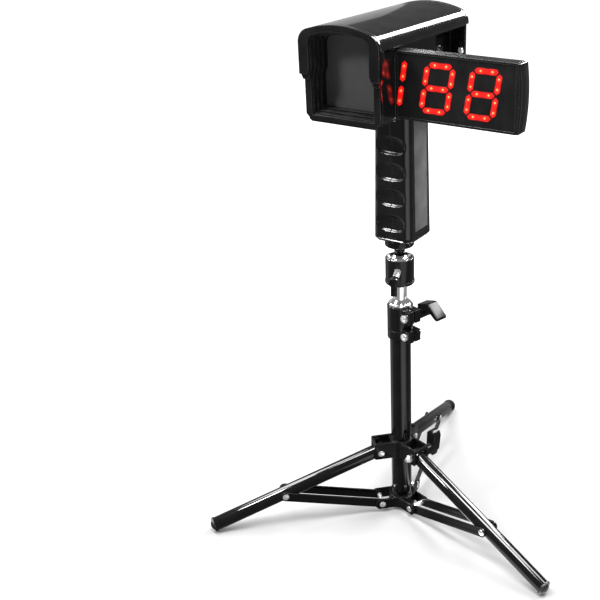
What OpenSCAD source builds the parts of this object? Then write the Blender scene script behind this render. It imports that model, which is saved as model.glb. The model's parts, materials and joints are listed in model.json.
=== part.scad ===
// Speed radar gun with a swing-out number display, on a ball head and a folding three-legged stand.
// Millimetres. +Z is up, the antenna faces -Y and the open display points along +X.
// The origin is on the floor, at the middle of the rectangle that the three feet span.

/* [Gun housing] */
// Half width of the housing below the hood
house_half = 33; // [31:0.5:36]
// Half width of the hood and of the visor
hood_half = 35; // [34:0.5:38]
// Distance from the column axis forward to the front face of the lower bezel
front_reach = 81.5; // [78:0.5:86]
// How far the visor stands in front of the lower bezel
visor_reach = 4; // [2:0.5:6]
// Distance from the column axis back to the rear face
rear_reach = 55.5; // [54:0.5:60]
// Height of the underside of the housing above the floor
house_bottom = 395; // [390:1:400]
// Height of the top of the hood above the floor
hood_top = 469; // [467:0.5:472]
// Wall thickness of the housing
house_wall = 2.5; // [2:0.1:3]
// Thickness of the hood
hood_wall = 2.2; // [1.8:0.1:2.6]

/* [Display] */
// Length of the display from the hinge axis to its free end
display_len = 107; // [100:0.5:107]
// Thickness of the display
display_thick = 12.5; // [10:0.5:12.5]
// Height of the display
display_high = 50.5; // [48:0.5:51]
// Height of the lower edge of the display above the underside of the housing
display_lift = 5; // [4.5:0.5:6]
// Height of a digit between the middles of its top and bottom bars
digit_high = 33.5; // [30:0.5:36]
// Width of a digit between the middles of its side bars
digit_wide = 21; // [18:0.5:23]
// Slant of the digits
digit_slant = 9; // [0:0.5:12]

/* [Grip] */
// Half width of the grip at its lower end
grip_half = 18.6; // [17:0.2:20]
// Distance from the column axis forward to the front of the grip, at its lower end
grip_front = 15; // [13:0.5:17]
// Distance from the column axis back to the rear of the grip, at its lower end
grip_rear = 26; // [22:0.5:28]
// How much narrower the grip is on each side at its upper end
grip_taper = 1.7; // [0:0.1:1.7]
// Spacing of the finger grooves
finger_pitch = 22.4; // [21:0.2:23]
// Depth of the finger grooves
finger_deep = 3.2; // [2:0.2:4]

/* [Ball head] */
// Radius of the ball
ball_r = 9.3; // [9:0.1:9.6]
// Height of the ball's middle above the floor
ball_z = 253.5; // [252:0.5:255]
// Radius of the ball housing
cup_r = 12.7; // [12.4:0.1:13.4]

/* [Stand] */
// Outer radius of the column tube
column_r = 9.5; // [9.5:0.1:9.5]
// Outer radius of the sliding inner tube
inner_r = 8; // [7.8:0.1:8]
// Outer radius of a leg tube
leg_r = 6.5; // [6:0.1:6.5]
// Distance of a foot's middle from the column axis
foot_reach = 179; // [170:0.5:195]
// Direction of the first leg
leg_azimuth = 223; // [200:1:240]
// Height of the leg pivots in the upper hub
hub_z = 65; // [62:0.5:70]
// Distance of the leg pivots from the column axis
pivot_r = 21; // [21:0.5:23]
// Distance along a leg from its pivot to the brace
brace_at = 97.5; // [90:0.5:100]
// Height of the brace pivots in the lower hub
low_z = 8.5; // [8:0.5:10]
// Radius of the lip of the rubber foot plugs
cap_r = 7; // [6.8:0.1:7.4]

/* [Hidden] */
$fn = 72;
fit = 0.05;            // radial clearance of a pin in its bore
gap = 0.3;             // clearance beside a moving face
eps = 0.01;

// Stand
foot_flat = 0.55;                        // how much lower a foot's middle lies than the lip's radius
foot_z = cap_r - foot_flat;
leg_drop = atan2(hub_z - foot_z, foot_reach - pivot_r);
leg_len = norm([foot_reach - pivot_r, hub_z - foot_z]);
leg_wall = 1;
lip_t = 1.8;                             // thickness of a foot plug's lip
dome_r = 6.5;
dome_out = 4;                            // how far a foot plug's dome stands out of the leg
brace_x = pivot_r + brace_at * cos(leg_drop);
brace_z = hub_z - brace_at * sin(leg_drop);
brace_len = norm([brace_x - pivot_r, brace_z - low_z]);
brace_rise = atan2(brace_z - low_z, brace_x - pivot_r);
strap_in = leg_r + gap;                  // inner face of a strap or cheek, from the leg's middle plane
strap_t = 1.5;
strap_r = 4.4;
pin_r = 2;
rivet_r = 3;
rivet_high = 1.2;
rivet_dome = 4.6;                        // radius of a rivet head's dome
cheek_t = 1.6;
cheek_out = strap_in + cheek_t;
low_cheek_in = strap_in + strap_t + 0.2;
low_cheek_out = low_cheek_in + cheek_t;
cheek_reach = pivot_r + 6.5;
cheek_corner = 3;
hub_ring_r = column_r + 1.9;
low_ring_r = column_r + 3.1;
hub_low = hub_z - 6.5;
hub_high = hub_z + 11;
low_hub_low = 3;
low_hub_high = 14.5;
column_low = 3;
column_high = 190;
column_in = column_r - 1.2;
plate_edge = 0.5;                        // cheeks are this much lower than their hub's ring
stop_low = hub_z + 6.3;                  // underside of the end wall that a spread leg comes up to
hex_r = 3.6;                             // corner radius of the hexagon nuts and heads
hex_high = 2.4;
knob_near = 17;                          // where the hub knob's boss turns into its wing
knob_far = 26.5;
wing_high = 13;

// Collar clamp and riser
collar_r = 11.6;
collar_low = 181.4;
collar_high = 214.2;
collar_split = 192.3;
ear_reach = 19;
ear_half = 7;
ear_gap = 1.6;
clamp_reach = 14;
clamp_bolt_r = 2;
upper_bolt_z = 206.5;
lower_bolt_z = 188.6;
arm_near = 10.8;                         // the collar lever's arm lies between these two distances
arm_far = 22.3;                          // from the ears' middle plane
arm_bend = [8, 10.5];                    // where the arm bends down
arm_end = [19.5, 21.7];
arm_high = 11.4;
riser_low = 30;
flange_z = 214.5;
flange_r = 10.25;
neck_low = 220.5;
neck_r = 6.2;
neck_groove = [1.2, 2.6];                // a groove this far below the head's base ring
neck_groove_deep = 0.8;
ring_low = 235.4;
ring_high = 238.7;
cup_high = 259.5;
screw_az = -67.5;                        // direction of the ball's lock screw
screw_z = 250.5;
screw_r = 2.75;
seat_r = 8.2;
screw_tip = ball_r + 0.2;                // the lock screw presses the ball
lever_at = 34;                           // distance of the lock lever from the column axis
lever_boss_r = 4.2;
lever_arm = [2.75, 12.6];                // half width and length of the lock lever's arm

// Stem and grip
disc_low = 270.8;
disc_r = 12.8;
stem_r = 4.65;
grip_low = 277;
grip_seam = grip_low + 5.5;
grip_wall = 2.2;
grip_corner = 7;
cap_edge = 2.6;
stud_r = 3.1;
stud_len = 8;
insert_r = 4.6;
insert_high = 12;
battery_r = 7.1;
battery_len = 49.5;
battery_low = grip_low + insert_high + 1.5;
battery_y = 1.5;
groove_r = 12;
first_groove = 12.8;                     // middle of the lowest groove above the cap's seam
groove_half = 6;                         // half the length of a groove's straight middle
inlay_deep = 0.9;
inlay_y = [-4, 17];                      // front and rear edges of the side inlays

// Housing
front_y = -front_reach;
visor_y = front_y - visor_reach;
rear_y = rear_reach;
bezel_deep = 3.5;                        // thickness of the bezel's outer flange
cover_y = rear_y - 3.5;                  // front face of the rear cover
shell_y = front_y + bezel_deep;          // front edge of the lower shell
hood_y = visor_y + bezel_deep;           // front edge of the hood
step_z = house_bottom + 36;              // where the visor ends on the bezel's sides
side_z = house_bottom + 58;              // lower edge of the hood's sides
window_y = front_y + 15.5;
window_t = 2.4;
crown_r = 89.4;                          // radius of the hood's crown
corner_r = 11;                           // radius of the hood's shoulders

// Display and its recess
display_low = house_bottom + display_lift;
hinge_off = 4.5;                         // hinge axis inside the display's front face and the housing's side
hinge_x = house_half - hinge_off;
panel_y = -60;                           // front face of the open display
hinge_y = panel_y + hinge_off;
panel_x = house_half + 0.4;              // near end of the display's case
panel_end = hinge_x + display_len;
cap_len = 2.2;                           // length of the end cap
end_r = 160;                             // radius of the display's bowed end
window_end = panel_end - cap_len - 3.2;  // far end of the display's window
case_high = display_low + display_high;
back_y = panel_y + display_thick;
back_t = 1.4;
led_t = 0.25;
point_share = 0.235;                     // a lit point's distance from its bar's middle, as a share of length
barrel_r = hinge_off - 0.2;
recess_x = house_half - display_thick - 1;
recess_y = panel_y - 0.4;
recess_z = house_bottom + 3.5;
panel_wall = 1.8;
face_y = panel_y + 0.4;                  // front of the display's window
hinge_pin_r = 1.5;
catch_x = house_half - 3.5;
catch_z = house_bottom + 36;

// Rear buttons
button_r = 5;
button_x = [-12, 4, 4];
button_z = [house_bottom + 40, house_bottom + 48, house_bottom + 32];
button_out = 1.8;

// Screws of the rear cover
screw_places = [
    [-house_half + 6, house_bottom + 10], [house_half - 18, house_bottom + 10],
    [-house_half + 6, side_z + 2], [house_half - 6, side_z + 2]
];

// Offset from the column axis to the middle of the feet's rectangle
function foot_x(i) = foot_reach * cos(leg_azimuth + 120 * i);
function foot_y(i) = foot_reach * sin(leg_azimuth + 120 * i);
all_x = [for (i = [0:2]) foot_x(i)];
all_y = [for (i = [0:2]) foot_y(i)];
middle_x = (max(all_x) + min(all_x)) / 2;
middle_y = (max(all_y) + min(all_y)) / 2;

// ---- placing ----

// From the column axis to the row's origin
module placed() { translate([-middle_x, -middle_y, 0]) children(); }
// Turned to leg i: X runs outward, Y across the leg
module on_leg(i) { placed() rotate([0, 0, leg_azimuth + 120 * i]) children(); }
// Along leg i from its pivot: X runs down the leg
module along_leg(i) { on_leg(i) translate([pivot_r, 0, hub_z]) rotate([0, leg_drop, 0]) children(); }
// A cylinder along X, Y
module rod_x(r, x0, x1) { translate([x0, 0, 0]) rotate([0, 90, 0]) cylinder(r = r, h = x1 - x0); }
module rod_y(r, y0, y1) { translate([0, y1, 0]) rotate([90, 0, 0]) cylinder(r = r, h = y1 - y0); }
module rod_z(r, z0, z1) { translate([0, 0, z0]) cylinder(r = r, h = z1 - z0); }
// A box from one corner to the opposite one
module block(a, b) { translate(a) cube(b - a); }
// A flat outline in X and Z, standing between two depths in Y
module standing(y0, y1) { translate([0, y1, 0]) rotate([90, 0, 0]) linear_extrude(y1 - y0) children(); }

// ---- outlines ----

module rounded_rect(x0, x1, y0, y1, r) {
    translate([x0 + r, y0]) square([x1 - x0 - 2 * r, y1 - y0]);
    translate([x0, y0 + r]) square([x1 - x0, y1 - y0 - 2 * r]);
    for (x = [x0 + r, x1 - r], y = [y0 + r, y1 - r]) translate([x, y]) circle(r);
}

// An arch: straight sides, round shoulders and a wide crown, all tangent
module arch(half, top, shoulder, crown, low) {
    side = half - shoulder;
    mid_z = top - crown;
    shoulder_z = mid_z + sqrt(pow(crown - shoulder, 2) - side * side);
    reach = crown / (crown - shoulder);
    tx = side * reach;
    tz = mid_z + (shoulder_z - mid_z) * reach;
    polygon([[-half, low], [half, low], [half, shoulder_z], [tx, tz], [-tx, tz], [-half, shoulder_z]]);
    intersection() {
        union() {
            for (s = [-1, 1]) translate([s * side, shoulder_z]) circle(shoulder);
            intersection() {
                translate([0, mid_z]) circle(crown);
                translate([-tx, tz - 1]) square([2 * tx, crown]);
            }
        }
        translate([-half, low]) square([2 * half, crown]);
    }
}

module hood_outline(inset = 0, low = step_z) {
    arch(hood_half - inset, hood_top - inset, corner_r - inset, crown_r - inset, low);
}

// The lower housing: stepped lower corners
module house_outline(inset = 0, high = side_z) {
    w = house_half - inset;
    b = house_bottom + inset;
    polygon([[-w + 5, b], [w - 5, b], [w - 2.6, b + 1.8], [w - 2.6, b + 3], [w, b + 5.4],
             [w, high], [-w, high], [-w, b + 5.4], [-w + 2.6, b + 3], [-w + 2.6, b + 1.8]]);
}

// The bezel's opening: wide below, narrower under the visor, and smaller with each step inward
module opening(inset = 0) {
    wide = house_half - 6 - inset;
    upper = house_half - 8.2 - inset;
    low = house_bottom + 5 + 1.6 * max(inset, 0);
    polygon([[-wide, low], [wide, low], [wide, step_z - 2], [upper, step_z + 4], [-upper, step_z + 4],
             [-wide, step_z - 2]]);
    arch(upper, hood_top - 6.5 - inset, 7, crown_r - 6.5, step_z - 3);
}

// One bar of a digit, slanted: centred on x, z, and laid along X or Z
function slanted(x, z) = [x + (z - digit_mid) * tan(digit_slant), z];
digit_mid = display_low + display_high * 0.51;
bar_w = 4.5;
bar_tip = 2.1;
module bar(x, z, len, upright) {
    h = len / 2;
    w = bar_w / 2;
    outline = [[-h, 0], [-h + bar_tip, w], [h - bar_tip, w], [h, 0], [h - bar_tip, -w], [-h + bar_tip, -w]];
    polygon([for (p = outline) upright ? slanted(x + p.y, z + p.x) : slanted(x + p.x, z + p.y)]);
}
// The bars of the three digits: [x, z, length, upright]
digit_x = [panel_x + 34.7, panel_x + 71.4];
one_x = panel_x + 5.2;
one_mid = digit_mid + 0.8;
bar_gap = 1.3;
side_len = digit_high / 2 - bar_gap;
flat_len = digit_wide - bar_gap;
quarter = digit_high / 4;
one_quarter = quarter + 0.8;
BARS = concat(
    [for (s = [-1, 1]) [one_x, one_mid + s * one_quarter, side_len + 0.8, true]],
    [for (x = digit_x, a = [-1, 1], b = [-1, 1])
        [x + a * digit_wide / 2, digit_mid + b * quarter, side_len, true]],
    [for (x = digit_x, k = [-1, 0, 1]) [x, digit_mid + k * digit_high / 2, flat_len, false]]
);

// ---- stand: fixed part ----

module column_tube() {
    color("#111113") placed() difference() {
        rod_z(column_r, column_low + 1.5, column_high);
        rod_z(column_in, column_low, column_high + 1);
    }
}

module column_plug() {
    color("#1b1b1d") placed() {
        rod_z(column_r, column_low, column_low + 1.5);
        rod_z(column_in, column_low + 1, column_low + 9);
    }
}

// The clamp casting: the lower ring holds the column, the upper ring grips the inner tube
module collar() {
    color("#121214") on_leg(1) difference() {
        union() {
            rod_z(collar_r, collar_low + 1.5, collar_high);
            translate([0, 0, collar_low]) cylinder(r1 = collar_r - 1.5, r2 = collar_r, h = 1.5);
            block([6, -ear_half, upper_bolt_z - 5], [ear_reach, ear_half, collar_high - 0.8]);
            block([6, -ear_half, lower_bolt_z - 5.4], [ear_reach, ear_half, lower_bolt_z + 5.4]);
        }
        rod_z(column_r, collar_low - 1, column_high);
        rod_z(inner_r + fit, column_high - 1, collar_high + 1);
        block([5, -ear_gap / 2, collar_low - 1], [ear_reach + 1, ear_gap / 2, collar_high + 1]);
        difference() {
            rod_z(collar_r + 12, collar_split - 0.6, collar_split + 0.6);
            rod_z(collar_r - 0.8, collar_split - 1, collar_split + 1);
        }
        for (z = [upper_bolt_z, lower_bolt_z])
            translate([clamp_reach, 0, z]) rod_y(clamp_bolt_r + fit, -ear_half - 1, ear_half + 1);
    }
}

module collar_bolts() {
    color("#c9ccd0") on_leg(1) {
        for (z = [upper_bolt_z, lower_bolt_z]) translate([clamp_reach, 0, z]) {
            difference() {
                union() {
                    rod_y(clamp_bolt_r, -ear_half - 2, z == upper_bolt_z ? 13.5 : ear_half + 2);
                    rod_y(3.5, -ear_half - 2.2, -ear_half);
                }
                translate([0, -ear_half - 1, 0]) rotate([90, 0, 0]) cylinder(r = 1.8, h = 4, $fn = 6);
            }
            if (z == lower_bolt_z)
                translate([0, ear_half + hex_high, 0]) rotate([90, 0, 0])
                    cylinder(r = hex_r, h = hex_high, $fn = 6);
        }
    }
}

// A pressed hub: a ring round the column and a pair of cheeks for each leg, cut off at their outer corners
module cheek(low, high, inner, outer, ring_r, corner) {
    root = sqrt(pow(ring_r - 0.4, 2) - outer * outer);
    tip = cheek_reach;
    c = corner;
    standing(inner, outer)
        polygon([[root, low], [tip - c, low], [tip, low + c],
                 [tip, high - c], [tip - c, high], [root, high]]);
}

module hub_plates(low, high, pivot_z, inner, outer, ring_r, bore, corner) {
    difference() {
        union() {
            difference() {
                rod_z(ring_r, low, high);
                rod_z(bore, low - 1, high + 1);
            }
            for (i = [0:2], s = [0, 1]) rotate([0, 0, 120 * i]) mirror([0, s, 0])
                cheek(low + plate_edge, high - plate_edge, inner, outer, ring_r, corner);
        }
        for (i = [0:2]) rotate([0, 0, 120 * i])
            translate([pivot_r, 0, pivot_z]) rod_y(pin_r, -outer - 1, outer + 1);
    }
}

// A low domed head that stands on the plane y = 0
module rivet_head() {
    intersection() {
        rod_y(rivet_r, 0, rivet_high);
        translate([0, rivet_high - rivet_dome, 0]) sphere(rivet_dome);
    }
}

module rivets(z, outer, legs) {
    for (i = legs) rotate([0, 0, 120 * i]) translate([pivot_r, 0, z]) {
        rod_y(pin_r, -outer, outer);
        for (s = [0, 1]) mirror([0, s, 0]) translate([0, outer, 0]) rivet_head();
    }
}

module lower_hub() {
    color("#131315") on_leg(0)
        hub_plates(low_hub_low, low_hub_high, low_z, low_cheek_in, low_cheek_out, low_ring_r, column_r,
                   cheek_corner);
}

module lower_hub_rivets() {
    color("#c4c7cb") on_leg(0) rivets(low_z, low_cheek_out, [0:2]);
}

// ---- stand: sliding hub ----

module upper_hub() {
    wall_out = cheek_reach - 0.3;
    side = strap_in + 0.4;
    color("#131315") on_leg(0) {
        hub_plates(hub_low, hub_high, hub_z, strap_in, cheek_out, hub_ring_r, column_r + fit, 1);
        // the end walls that join each pair of cheeks above the leg
        for (i = [0:2]) rotate([0, 0, 120 * i])
            block([wall_out - cheek_t, -side, stop_low], [wall_out, side, hub_high - 2 * plate_edge - 0.4]);
    }
}

module upper_hub_rivets() {
    color("#c4c7cb") on_leg(0) rivets(hub_z, cheek_out, [0, 2]);
}

// The second leg turns on this bolt, and the knob on it clamps the spread stand
module hub_bolt() {
    color("#c9ccd0") on_leg(1) translate([pivot_r, 0, hub_z]) {
        rod_y(pin_r, -cheek_out - hex_high - 2.6, knob_near - 1);
        translate([0, -cheek_out, 0]) rotate([90, 0, 0]) cylinder(r = hex_r, h = hex_high, $fn = 6);
    }
}

// A wing nut: a boss on the bolt and one wing, which turns with it
module hub_knob() {
    color("#0f0f11") on_leg(1) translate([pivot_r, 0, hub_z]) difference() {
        union() {
            rod_y(5, cheek_out + 0.2, knob_near + 1);
            hull() {
                rod_y(4.6, knob_near, knob_far - 1);
                translate([0, 0, wing_high]) rod_y(5.2, knob_near + 1.5, knob_far);
            }
            hull() {
                rod_y(4.4, knob_near + 1, knob_far - 2);
                translate([0, 0, -6]) rod_y(2.8, knob_near + 2.5, knob_far - 2.5);
            }
        }
        rod_y(pin_r + fit, 0, knob_near - 0.5);
    }
}

// ---- stand: legs and braces ----

module leg(i) {
    color("#0e0e10") along_leg(i) difference() {
        intersection() {
            rod_x(leg_r, -leg_r, leg_len - lip_t / 2);
            union() {
                rod_y(leg_r - 0.2, -10, 10);
                block([0, -10, -10], [leg_len, 10, 10]);
            }
        }
        rod_x(leg_r - leg_wall, 9, leg_len);
        rod_y(pin_r + fit, -10, 10);
    }
}
module leg_1() { leg(0); }
module leg_2() { leg(1); }
module leg_3() { leg(2); }

// A rubber plug in the leg's end: a stem, a lip and a low dome, turned about the leg's axis
module foot_plug() {
    lip = lip_t / 2;
    stem = leg_r - leg_wall;
    dome = [for (a = [58:-14.5:0]) [dome_r * sin(a), dome_out - dome_r + dome_r * cos(a)]];
    rotate([0, 90, 0]) rotate_extrude()
        polygon(concat([[0, -14], [stem, -14], [stem, -lip], [cap_r, -lip], [cap_r, lip]], dome));
}

module foot_cap(i) {
    color("#18181a") difference() {
        along_leg(i) translate([leg_len, 0, 0]) foot_plug();
        on_leg(i) block([foot_reach - 30, -20, -5], [foot_reach + 20, 20, 0]);
    }
}
module foot_cap_1() { foot_cap(0); }
module foot_cap_2() { foot_cap(1); }
module foot_cap_3() { foot_cap(2); }

// Two flat straps, one on each side of the leg
module on_brace(i) { on_leg(i) translate([pivot_r, 0, low_z]) rotate([0, -brace_rise, 0]) children(); }
module brace(i) {
    color("#151517") on_brace(i) for (s = [0, 1]) mirror([0, s, 0]) difference() {
        union() {
            for (x = [0, brace_len]) translate([x, 0, 0]) rod_y(strap_r, strap_in, strap_in + strap_t);
            block([0, strap_in, -strap_r], [brace_len, strap_in + strap_t, strap_r]);
        }
        for (x = [0, brace_len])
            translate([x, 0, 0]) rod_y(pin_r + fit, strap_in - 1, strap_in + strap_t + 1);
    }
}

// The rivet heads where the straps meet the leg
module brace_rivets(i) {
    color("#c4c7cb") on_brace(i) translate([brace_len, 0, 0]) for (s = [0, 1]) mirror([0, s, 0]) {
        rod_y(pin_r, strap_in, strap_in + strap_t);
        translate([0, strap_in + strap_t, 0]) rivet_head();
    }
}
module brace_1() { brace(0); }
module brace_2() { brace(1); }
module brace_3() { brace(2); }
module brace_rivets_1() { brace_rivets(0); }
module brace_rivets_2() { brace_rivets(1); }
module brace_rivets_3() { brace_rivets(2); }

// ---- stand: riser, ball head ----

module inner_tube() {
    color("#141416") placed() difference() {
        rod_z(inner_r, riser_low, flange_z);
        rod_z(inner_r - 1, riser_low - 1, flange_z + 1);
    }
}

module spigot() {
    color("#d7dade") placed() {
        rod_z(inner_r - 1 - fit, flange_z - 20, flange_z);
        rod_z(flange_r, flange_z, flange_z + 2);
        translate([0, 0, flange_z + 2])
            cylinder(r1 = flange_r - 0.9, r2 = neck_r, h = neck_low - flange_z - 2);
        rod_z(neck_r, neck_low, ring_low - neck_groove[1]);
        rod_z(neck_r - neck_groove_deep, ring_low - neck_groove[1], ring_low - neck_groove[0]);
        rod_z(neck_r, ring_low - neck_groove[0], ring_low);
        rod_z(3, ring_low, ring_high + 1.5);
    }
}

module housing_ring() {
    color("#101012") placed() difference() {
        union() {
            translate([0, 0, ring_low]) cylinder(r1 = cup_r - 0.5, r2 = cup_r + 0.45, h = 1.2);
            rod_z(cup_r + 0.45, ring_low + 1.2, ring_high);
        }
        rod_z(3, ring_low - 1, ring_high + 1);
    }
}

module ball_housing() {
    color("#0f0f11") placed() difference() {
        rod_z(cup_r, ring_high, cup_high);
        translate([0, 0, ball_z]) sphere(ball_r + 0.15);
        rod_z(8.3, ring_high + 2, ball_z);
        translate([0, 0, ball_z + 3.6])
            cylinder(r1 = 8.5, r2 = cup_r - 1.4, h = cup_high - ball_z - 3.6 + eps);
        rod_z(3, ring_high - 1, ring_high + 3);
        rotate([0, 0, screw_az]) translate([0, 0, screw_z]) rod_x(screw_r + fit, ball_r - 1, cup_r + 2);
    }
}

// The nylon cup under the ball
module ball_seat() {
    color("#e6e4dc") placed() difference() {
        rod_z(seat_r, ring_high + 2, ball_z - 4);
        translate([0, 0, ball_z]) sphere(ball_r + fit);
    }
}

module ball() {
    color("#d7dade") placed() translate([0, 0, ball_z]) sphere(ball_r);
}

module on_screw() { placed() rotate([0, 0, screw_az]) translate([0, 0, screw_z]) children(); }

module lock_screw() {
    color("#c9ccd0") on_screw() rod_x(screw_r, screw_tip, lever_at - 1);
}

module lock_lever() {
    color("#0f0f11") on_screw() difference() {
        union() {
            rod_x(lever_boss_r, lever_at - 3, lever_at + 3.5);
            block([lever_at - 2, -lever_arm[0], -lever_arm[1]], [lever_at + 2.6, lever_arm[0], 0]);
        }
        rod_x(screw_r, lever_at - 5, lever_at - 1);
    }
}

// A boss on the clamp's bolt and an arm that leads outward, bends and comes down
module collar_lever() {
    color("#0f0f11") on_leg(1) translate([clamp_reach, 0, upper_bolt_z]) difference() {
        union() {
            rod_y(4.8, ear_half + gap, arm_far - 2);
            hull() {
                block([-3, arm_near, 2.5], [2, arm_far, 8.1]);
                block([arm_bend[0], arm_near, 6.5], [arm_bend[1], arm_far, arm_high]);
            }
            hull() {
                block([arm_bend[0], arm_near, 6.5], [arm_bend[1], arm_far, arm_high]);
                block([arm_end[0], arm_near, -1], [arm_end[1], arm_far, 1.5]);
            }
        }
        rod_y(clamp_bolt_r + fit, 0, 14);
    }
}

// The stem is screwed into the ball and ends in the platform that the grip stands on
module ball_stem() {
    color("#111113") placed() difference() {
        union() {
            rod_z(stem_r, ball_z, disc_low);
            translate([0, 0, disc_low]) cylinder(r1 = disc_r - 0.8, r2 = disc_r, h = 0.8);
            rod_z(disc_r, disc_low + 0.8, grip_low);
            rod_z(stud_r, grip_low - 1, grip_low + stud_len);
        }
        translate([0, 0, ball_z]) sphere(ball_r);
    }
}

// ---- gun: grip ----

// A thin slice of the grip at one height, smaller by inset all round; the front may be set back further
module grip_slab(z, inset, front_in = 0) {
    narrow = grip_taper * (z - grip_low) / (house_bottom - grip_low);
    side = grip_half - narrow - inset;
    translate([0, 0, z]) linear_extrude(eps)
        rounded_rect(-side, side, inset + front_in + narrow - grip_front, grip_rear - inset - narrow,
                     max(grip_corner - inset - front_in, 2), $fn = 40);
}
module grip_form(low, high, inset = 0, front_in = 0) {
    hull() for (z = [low, high - eps]) grip_slab(z, inset, front_in);
}

module finger_grooves() {
    // the grip's front leans back a little with height, and the grooves with it
    back = finger_deep - grip_front - groove_r - 0.75;
    lean = 0.3;                          // set back of each groove over the one below
    for (k = [0:3]) translate([0, back + lean * k, grip_seam + first_groove + finger_pitch * k]) {
        rod_x(groove_r, -groove_half, groove_half);
        for (s = [-1, 1]) translate([groove_half * s, 0, 0]) sphere(groove_r);
    }
}

module grip_shell(s) {
    difference() {
        grip_form(grip_seam, house_bottom);
        grip_form(grip_seam - 1, house_bottom + 1, grip_wall, finger_deep);
        finger_grooves();
        block([s > 0 ? -30 : 0, -30, grip_seam - 5], [s > 0 ? 0 : 30, 30, house_bottom + 5]);
        grip_inlay_form(0);
    }
}

// The raised side panels that sit in pockets of the grip
module grip_inlay_form(proud) {
    tilt = atan(grip_taper / (house_bottom - grip_low));
    for (s = [-1, 1]) mirror([s < 0 ? 1 : 0, 0, 0])
        translate([grip_half - inlay_deep, 0, grip_low]) rotate([0, -tilt, 0])
            block([0, inlay_y[0], 10], [inlay_deep + proud, inlay_y[1], house_bottom - grip_low - 12]);
}

module grip_left() { color("#141416") placed() grip_shell(-1); }
module grip_right() { color("#141416") placed() grip_shell(1); }
module grip_inlays() { color("#4b4c4e") placed() grip_inlay_form(-0.2); }

module grip_cap() {
    color("#121214") placed() difference() {
        hull() {
            grip_slab(grip_low, cap_edge);
            grip_slab(grip_low + cap_edge, 0);
            grip_slab(grip_seam - eps, 0);
        }
        rod_z(insert_r, grip_low - 1, grip_seam + 1);
    }
}

module thread_insert() {
    color("#b08d3c") placed() difference() {
        rod_z(insert_r, grip_low, grip_low + insert_high);
        rod_z(stud_r + fit, grip_low - 1, grip_low + insert_high - 2);
    }
}

module batteries() {
    color("#3d5a3a") placed() for (s = [-1, 1], k = [0, 1])
        translate([s * (battery_r + 0.2), battery_y, battery_low + 1 + k * (battery_len + 0.2)]) {
            cylinder(r = battery_r, h = battery_len - 1.2);
            cylinder(r = 2.6, h = battery_len);
        }
}

module battery_tray() {
    color("#1e1e20") placed() difference() {
        block([-13, battery_y + 1, battery_low], [13, battery_y + battery_r + 1.4, house_bottom - 1]);
        for (s = [-1, 1]) translate([s * (battery_r + 0.2), battery_y, 0])
            rod_z(battery_r + 0.1, battery_low + 1, battery_low + 2 + 2 * battery_len + 0.4);
    }
}

// ---- gun: housing ----

module body_shell() {
    color("#0d0d0f") placed() difference() {
        union() {
            standing(shell_y, cover_y) house_outline();
            standing(shell_y, cover_y) translate([-house_half + 0.5, side_z - 1])
                square([2 * house_half - 1, 3]);
        }
        // inside: the whole width before the recess, and what is left beside it
        standing(shell_y - 1, recess_y - house_wall) house_outline(house_wall, side_z + 5);
        standing(shell_y - 1, cover_y + 1) intersection() {
            house_outline(house_wall, side_z + 5);
            translate([-house_half, house_bottom]) square([house_half + recess_x - house_wall, 70]);
        }
        // the recess that the display folds into
        block([recess_x, recess_y, recess_z], [house_half + 3, cover_y + 1, side_z - 1.5]);
        translate([hinge_x, hinge_y, 0]) rod_z(hinge_pin_r, house_bottom + 1, side_z + 5);
        // cable way into the grip
        block([-9, -3, house_bottom - 1], [9, 10, house_bottom + 3]);
    }
}

module hood() {
    color("#0b0b0d") placed() standing(hood_y, cover_y) difference() {
        hood_outline(0, side_z);
        hood_outline(hood_wall, side_z - 5);
    }
}

module front_bezel() {
    color("#0c0c0e") placed() difference() {
        union() {
            standing(front_y, shell_y) house_outline(0, step_z + 2);
            // visor, with a short slope where it ends on the sides
            standing(visor_y, hood_y) hood_outline(0, step_z);
            standing(visor_y, shell_y) intersection() {
                hood_outline(0, step_z);
                translate([-50, step_z]) square([100, side_z - step_z]);
            }
            standing(front_y - 2, shell_y) polygon([
                [-hood_half, step_z], [-house_half, step_z - 4], [house_half, step_z - 4],
                [hood_half, step_z]]);
            // sleeve inside the shell and the hood
            standing(front_y, window_y + window_t) house_outline(house_wall + 0.2, step_z + 2);
            standing(front_y, window_y + window_t)
                hood_outline(hood_half - house_half + house_wall + 0.2, step_z);
        }
        standing(visor_y - 1, front_y - 1.4) opening(-1.6);
        standing(visor_y - 1, front_y + 2) opening(-0.6);
        standing(visor_y - 1, front_y + 6) opening(0.6);
        standing(visor_y - 1, front_y + 10) opening(1.6);
        standing(visor_y - 1, window_y + 1) opening(2.6);
        standing(window_y, window_y + window_t + 1) opening(1.2);
    }
}

module radar_window() {
    color("#3a3b3d") placed() standing(window_y, window_y + window_t) opening(1.3);
}

module rear_cover() {
    color("#101012") placed() difference() {
        standing(cover_y, rear_y) {
            house_outline(0, side_z + 1);
            hood_outline(0, side_z);
        }
        // shallow pocket where the display's end comes to rest
        block([recess_x, cover_y - 1, recess_z], [house_half + 3, cover_y + 1, side_z - 1.5]);
        translate([catch_x, 0, catch_z]) rod_y(2.6, cover_y - 1, cover_y + 2.4);
        for (k = [0:2])
            translate([button_x[k], 0, button_z[k]]) rod_y(button_r + 0.1, cover_y - 1, rear_y + 1);
        for (p = screw_places) translate([p.x, 0, p.y]) {
            rod_y(1.6, cover_y - 1, rear_y + 1);
            rod_y(2.9, rear_y - 1.6, rear_y + 1);
        }
    }
}

module case_screws() {
    color("#8d9094") placed() for (p = screw_places) translate([p.x, 0, p.y]) difference() {
        union() {
            rod_y(2.8, rear_y - 1.6, rear_y - 0.2);
            rod_y(1.5, cover_y, rear_y - 1);
        }
        for (a = [0, 90])
            translate([0, rear_y - 0.2, 0]) rotate([0, a, 0]) cube([3.4, 1.2, 0.7], center = true);
    }
}

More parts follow.
